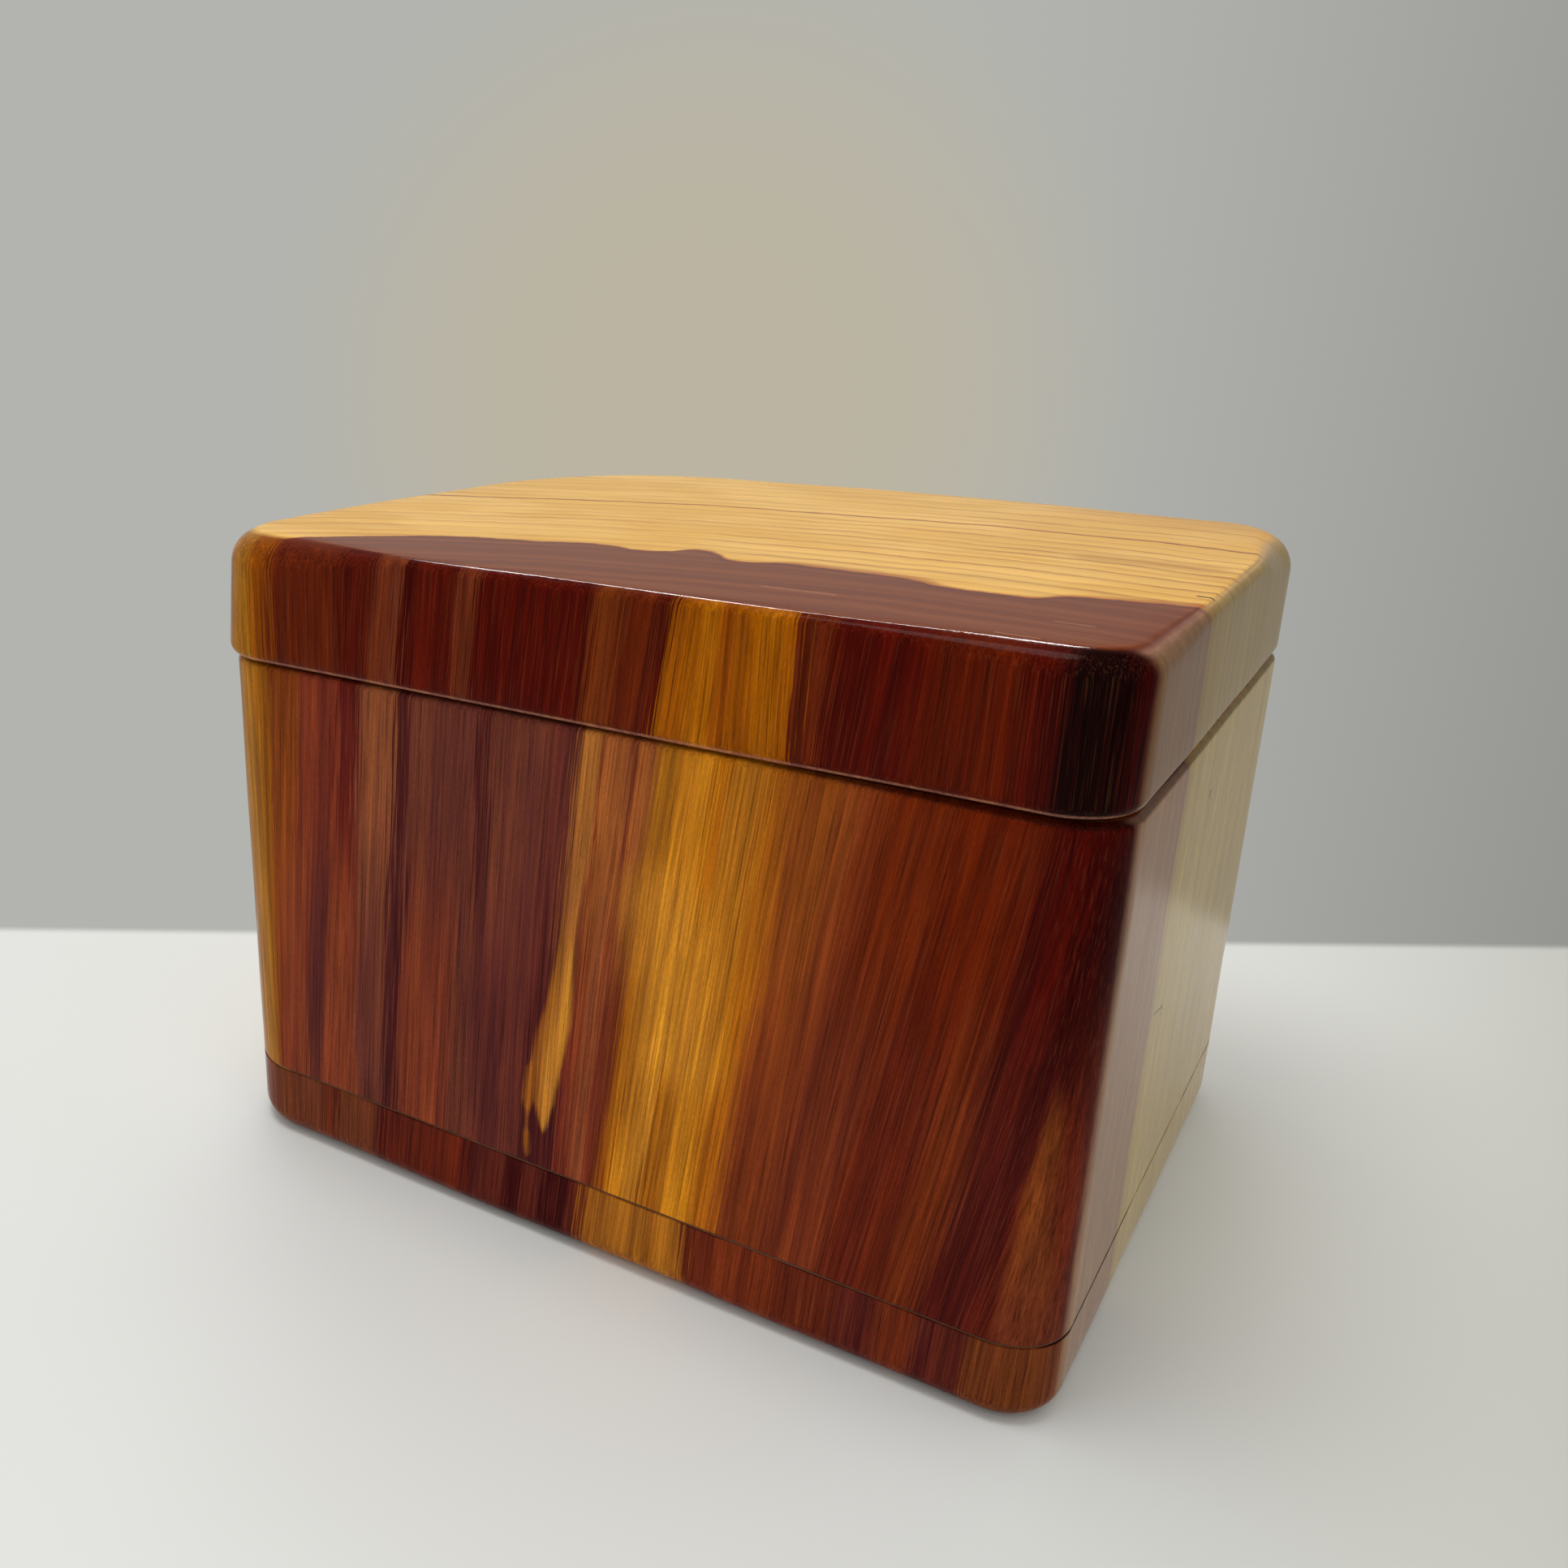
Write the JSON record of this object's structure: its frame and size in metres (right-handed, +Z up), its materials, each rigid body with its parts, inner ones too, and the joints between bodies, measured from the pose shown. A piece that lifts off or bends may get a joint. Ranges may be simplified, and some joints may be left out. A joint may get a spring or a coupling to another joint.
{
  "type": "keepsake box",
  "caption": "Small rectangular keepsake box cut from a block of cedar, with rounded corners, a glued base slice and a thick lift-off lid located by a plug.",
  "frame": {"origin": "on the surface that the box stands on, under the middle of the lid", "axes": "+X along the length to the right as seen from the front, -Y towards the front, +Z up through the lid"},
  "size_m": [0.1008, 0.08, 0.0725],
  "materials": {
    "cedar_base": "satin lacquer over red heartwood",
    "cedar_body": "satin lacquer over red heartwood with golden sapwood",
    "cedar_lid": "satin lacquer over golden sapwood and red heartwood",
    "bare_cedar": "bare, sanded"
  },
  "bodies": {
    "case": {"base_slice": "cedar_base", "body_ring": "cedar_body"},
    "lid": {"lid_slab": "cedar_lid", "lid_plug": "bare_cedar"}
  },
  "joints": [
    {"name": "lid_lift", "type": "slide", "parent": "case", "child": "lid", "axis": [0, 0, 1], "range_m": [0, 0.06]}
  ]
}
